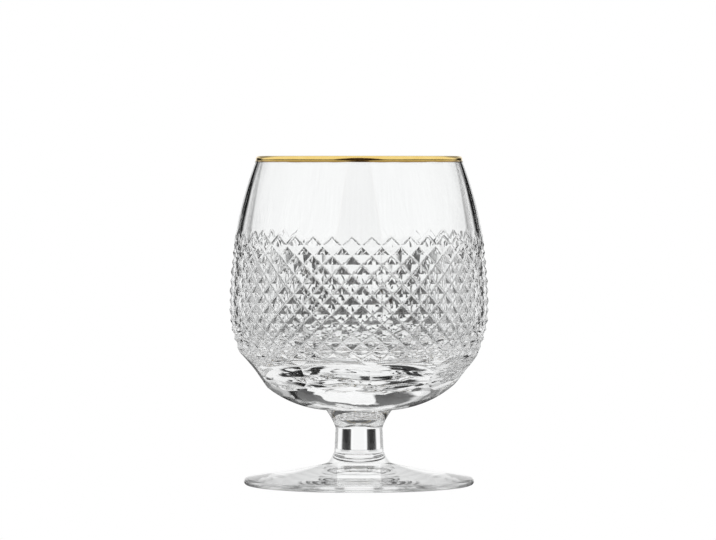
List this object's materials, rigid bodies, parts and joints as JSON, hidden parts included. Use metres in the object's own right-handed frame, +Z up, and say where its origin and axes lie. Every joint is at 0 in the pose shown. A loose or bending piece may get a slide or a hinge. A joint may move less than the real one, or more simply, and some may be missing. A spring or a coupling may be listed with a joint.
{
  "type": "brandy snifter",
  "caption": "Cut-crystal brandy snifter with a wide diamond-cut bowl narrowing to a gilded mouth, olive cuts below, a short flared stem and a round foot.",
  "frame": {"origin": "middle of the flat ring under the foot, on the plane that the glass stands on", "axes": "+Z up along the axis of the glass, from the foot to the mouth; -Y is the side that faces the camera of the picture"},
  "size_m": [0.0828, 0.0828, 0.105],
  "materials": {
    "foot_crystal": "fire-polished lead crystal",
    "stem_crystal": "fire-polished lead crystal",
    "bowl_crystal": "polished lead crystal with wheel-cut diamonds and olives",
    "gilding": "bright fired gold"
  },
  "bodies": {
    "root": {"foot": "foot_crystal", "stem": "stem_crystal", "bowl": "bowl_crystal", "gold_rim": "gilding"}
  },
  "joints": []
}
